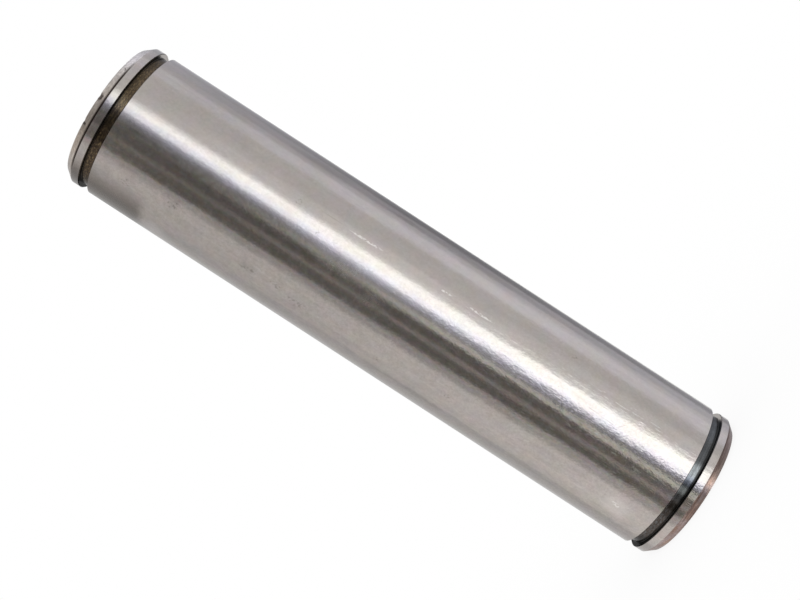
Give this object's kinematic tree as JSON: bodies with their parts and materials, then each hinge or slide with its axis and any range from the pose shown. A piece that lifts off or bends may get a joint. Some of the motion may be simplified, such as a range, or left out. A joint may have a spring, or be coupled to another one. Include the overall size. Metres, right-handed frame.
{
  "type": "linkage pin",
  "caption": "Straight ground steel pin for a pivoting linkage, with a retaining ring groove and a lead-in chamfer near each end.",
  "frame": {"origin": "centre of the lower end face, on which the pin stands", "axes": "+Z along the pin's axis, towards the upper end; X and Y are equal, because the pin is round"},
  "size_m": [0.05, 0.05, 0.22],
  "materials": {
    "ground_steel": "cylindrically ground, with turned ring grooves and chamfers that carry a brown hardening tint"
  },
  "bodies": {
    "root": {"linkage_pin": "ground_steel"}
  },
  "joints": []
}
